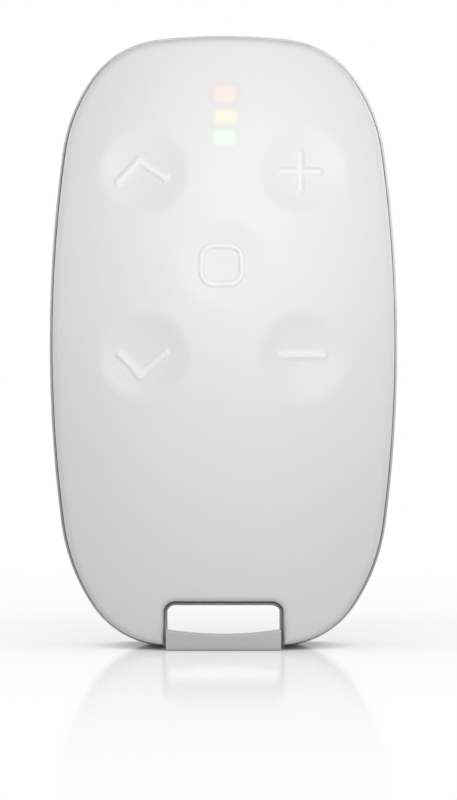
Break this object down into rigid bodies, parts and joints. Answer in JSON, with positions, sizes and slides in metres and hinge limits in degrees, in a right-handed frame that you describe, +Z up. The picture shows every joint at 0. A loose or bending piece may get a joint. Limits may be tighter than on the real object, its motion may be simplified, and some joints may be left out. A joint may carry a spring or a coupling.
{
  "type": "alarm remote control",
  "caption": "Hand-held alarm remote with a white pillowed front, dished press keys, status lights behind the cover and a keyring bar at the foot.",
  "frame": {"origin": "middle of the flat foot of the keyring bar, on the plane where the two halves of the case meet", "axes": "+Z up along the length, front face towards -Y, +X to the right as the front is looked at"},
  "size_m": [0.038, 0.013, 0.0667],
  "materials": {
    "cover_white": "satin soft-touch white",
    "frame_white": "moulded",
    "housing_grey": "fine moulded grey",
    "clear_guide": "clear moulded",
    "red_light": "lens",
    "yellow_light": "lens",
    "green_light": "lens",
    "board_green": "solder mask",
    "chip_black": "moulded",
    "plunger_amber": "moulded",
    "bright_metal": "nickel plated, satin",
    "cell_can": "satin nickel-plated can",
    "screw_steel": "zinc plated",
    "seal_rubber": "matt"
  },
  "bodies": {
    "case": {"front_cover": "cover_white", "inner_frame": "frame_white", "light_guide": "clear_guide", "red_lamp": "red_light", "yellow_lamp": "yellow_light", "green_lamp": "green_light", "circuit_board": "board_green", "controller_chip": "chip_black", "radio_chip": "chip_black", "crystal": "bright_metal", "antenna": "bright_metal", "coin_cell": "cell_can", "battery_holder": "chip_black", "positive_contact": "bright_metal", "negative_contact": "bright_metal", "case_seal": "seal_rubber", "rear_housing": "housing_grey", "battery_cover_seal": "seal_rubber", "case_screws": "screw_steel", "up_switch": "chip_black", "plus_switch": "chip_black", "centre_switch": "chip_black", "down_switch": "chip_black", "minus_switch": "chip_black"},
    "up_button": {"up_key": "cover_white", "up_switch_plunger": "plunger_amber"},
    "plus_button": {"plus_key": "cover_white", "plus_switch_plunger": "plunger_amber"},
    "centre_button": {"centre_key": "cover_white", "centre_switch_plunger": "plunger_amber"},
    "down_button": {"down_key": "cover_white", "down_switch_plunger": "plunger_amber"},
    "minus_button": {"minus_key": "cover_white", "minus_switch_plunger": "plunger_amber"},
    "battery_lid": {"battery_cover": "housing_grey"}
  },
  "joints": [
    {"name": "up_press", "type": "slide", "parent": "case", "child": "up_button", "axis": [0, 1, 0], "range_m": [0, 0.00035], "stiffness_N_per_m": 3000},
    {"name": "plus_press", "type": "slide", "parent": "case", "child": "plus_button", "axis": [0, 1, 0], "range_m": [0, 0.00035], "stiffness_N_per_m": 3000},
    {"name": "centre_press", "type": "slide", "parent": "case", "child": "centre_button", "axis": [0, 1, 0], "range_m": [0, 0.00035], "stiffness_N_per_m": 3000},
    {"name": "down_press", "type": "slide", "parent": "case", "child": "down_button", "axis": [0, 1, 0], "range_m": [0, 0.00035], "stiffness_N_per_m": 3000},
    {"name": "minus_press", "type": "slide", "parent": "case", "child": "minus_button", "axis": [0, 1, 0], "range_m": [0, 0.00035], "stiffness_N_per_m": 3000},
    {"name": "battery_lid_turn", "type": "hinge", "parent": "case", "child": "battery_lid", "pos_m": [0, 0.005, 0.029], "axis": [0, 1, 0], "range_deg": [0, 30]}
  ]
}
